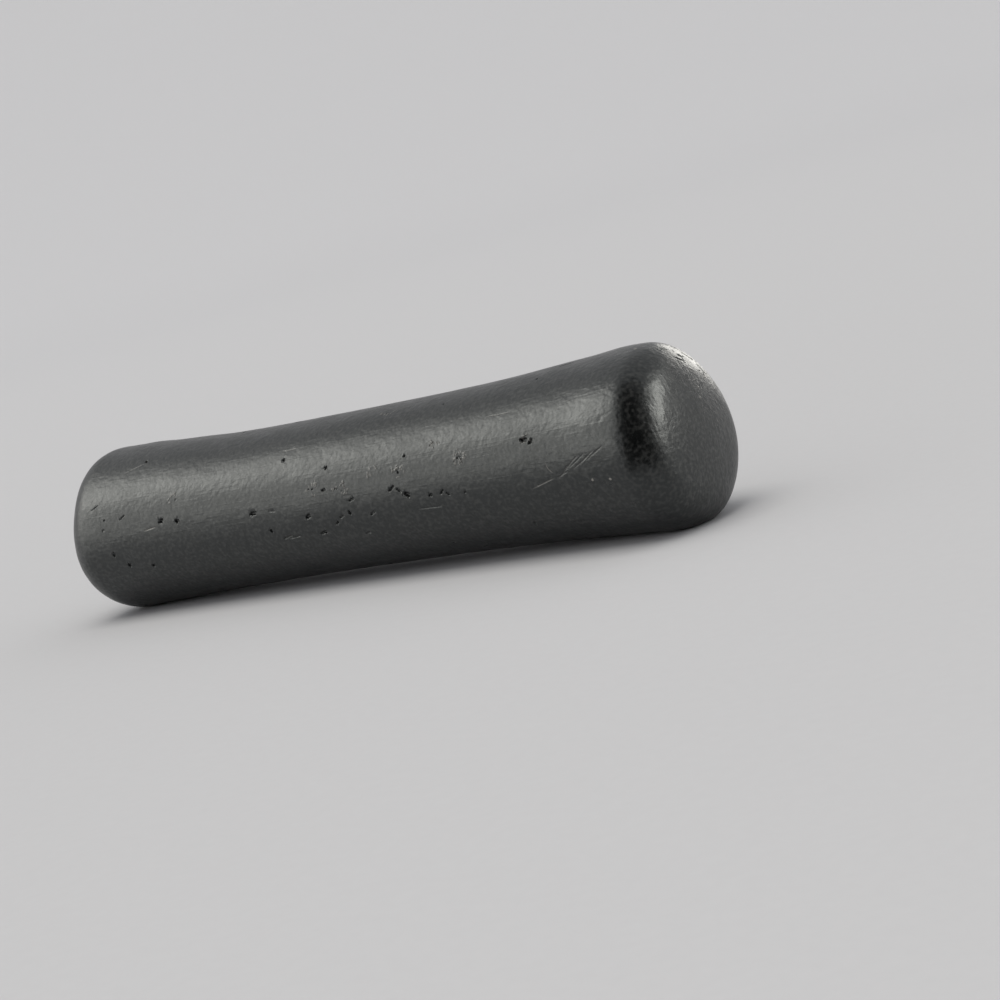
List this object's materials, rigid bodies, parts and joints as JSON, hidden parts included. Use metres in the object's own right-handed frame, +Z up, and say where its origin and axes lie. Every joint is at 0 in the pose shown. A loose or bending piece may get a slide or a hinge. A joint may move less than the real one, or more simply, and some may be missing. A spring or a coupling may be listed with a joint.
{
  "type": "ink stick",
  "caption": "Hand-rolled solid ink stick: a matt black round rod with a slim waist, flared ends and blunt domed faces, lying on its side.",
  "frame": {"origin": "on the surface that the stick lies on, under the middle of the stick", "axes": "+X along the stick's axis towards its head, the end with the slanting flat; +Z up, away from the surface that it lies on"},
  "size_m": [0.14, 0.0312, 0.0309],
  "materials": {
    "ink": "satin, hand-burnished"
  },
  "bodies": {
    "root": {"ink_stick": "ink"}
  },
  "joints": []
}
